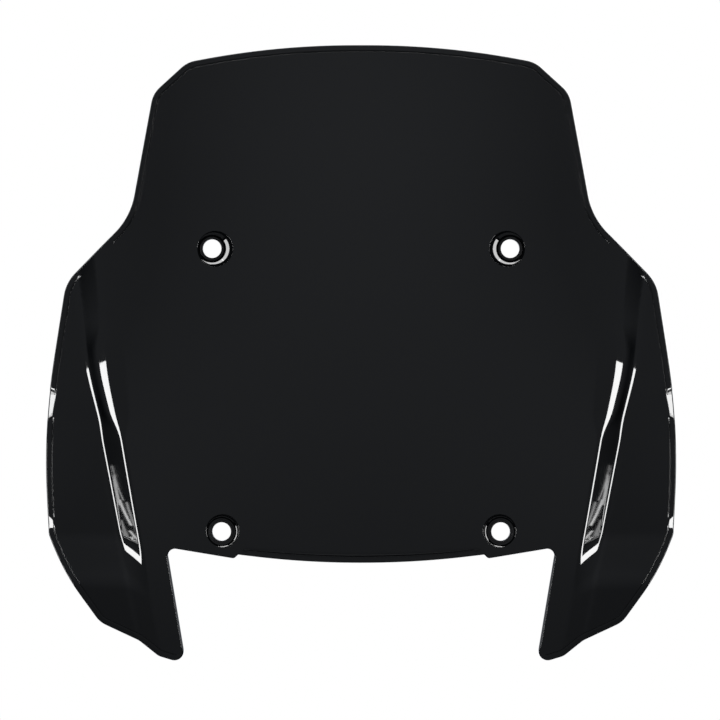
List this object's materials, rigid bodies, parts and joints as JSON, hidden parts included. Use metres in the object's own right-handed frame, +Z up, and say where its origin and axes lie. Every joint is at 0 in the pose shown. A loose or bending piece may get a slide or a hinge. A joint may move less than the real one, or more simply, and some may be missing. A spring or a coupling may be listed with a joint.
{
  "type": "motorcycle windshield screen",
  "caption": "Smoked moulded touring windshield with a crowned panel, stepped side creases, swept wings, forked lower legs and recessed holes lined by rubber grommets.",
  "frame": {"origin": "centre of the four-hole pattern, in the plane where the grommets seat on the motorcycle's bracket", "axes": "+X to the right seen from the front, +Z up, -Y out of the crowned front face, towards the oncoming air"},
  "size_m": [0.4226, 0.0474, 0.409],
  "materials": {
    "smoked_plastic": "polished, near-black smoke",
    "rubber": "moulded, satin"
  },
  "bodies": {
    "root": {"screen": "smoked_plastic", "grommet_upper_left": "rubber", "grommet_upper_right": "rubber", "grommet_lower_left": "rubber", "grommet_lower_right": "rubber"}
  },
  "joints": []
}
